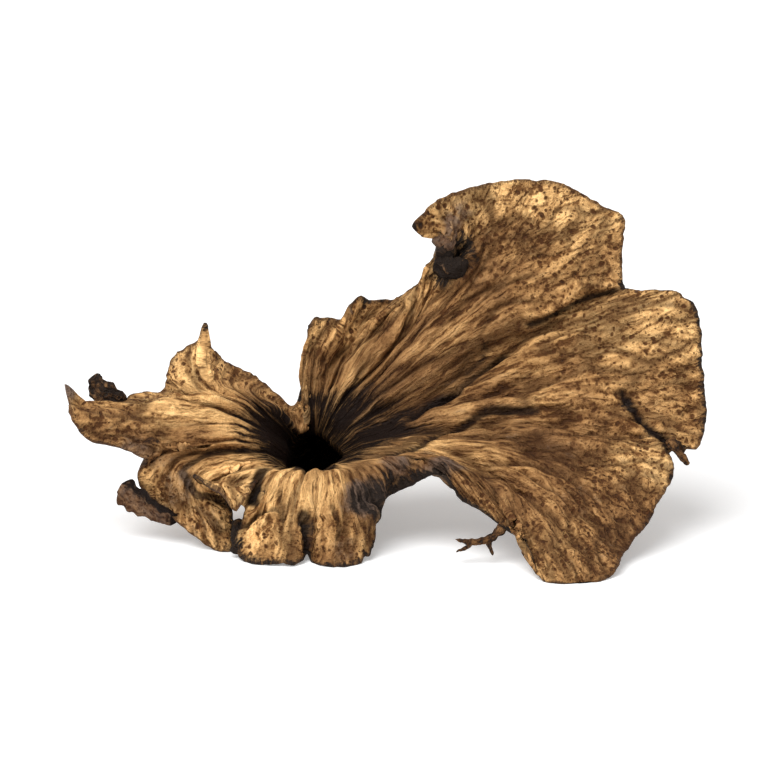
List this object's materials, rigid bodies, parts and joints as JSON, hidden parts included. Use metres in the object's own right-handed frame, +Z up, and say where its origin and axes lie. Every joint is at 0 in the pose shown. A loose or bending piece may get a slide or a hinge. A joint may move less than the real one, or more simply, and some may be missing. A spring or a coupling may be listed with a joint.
{
  "type": "dried black trumpet mushroom",
  "caption": "Dried trumpet-shaped wild mushroom: a thin ruffled funnel, open at a deep throat, that narrows into a hollow furrowed stem; it lies on its lobes.",
  "frame": {"origin": "on the surface the mushroom lies on, under the middle of its bounding box", "axes": "+X across the cap to the right as the mouth is looked into, +Y back along the stem, +Z up; the mouth opens toward -Y and up"},
  "size_m": [0.0738, 0.062, 0.0378],
  "materials": {
    "dried_flesh": "matte, leathery dried flesh: tan ridges over dark brown furrows inside, grey-brown outside, near black in the throat"
  },
  "bodies": {
    "root": {"trumpet_fruit_body": "dried_flesh"}
  },
  "joints": []
}
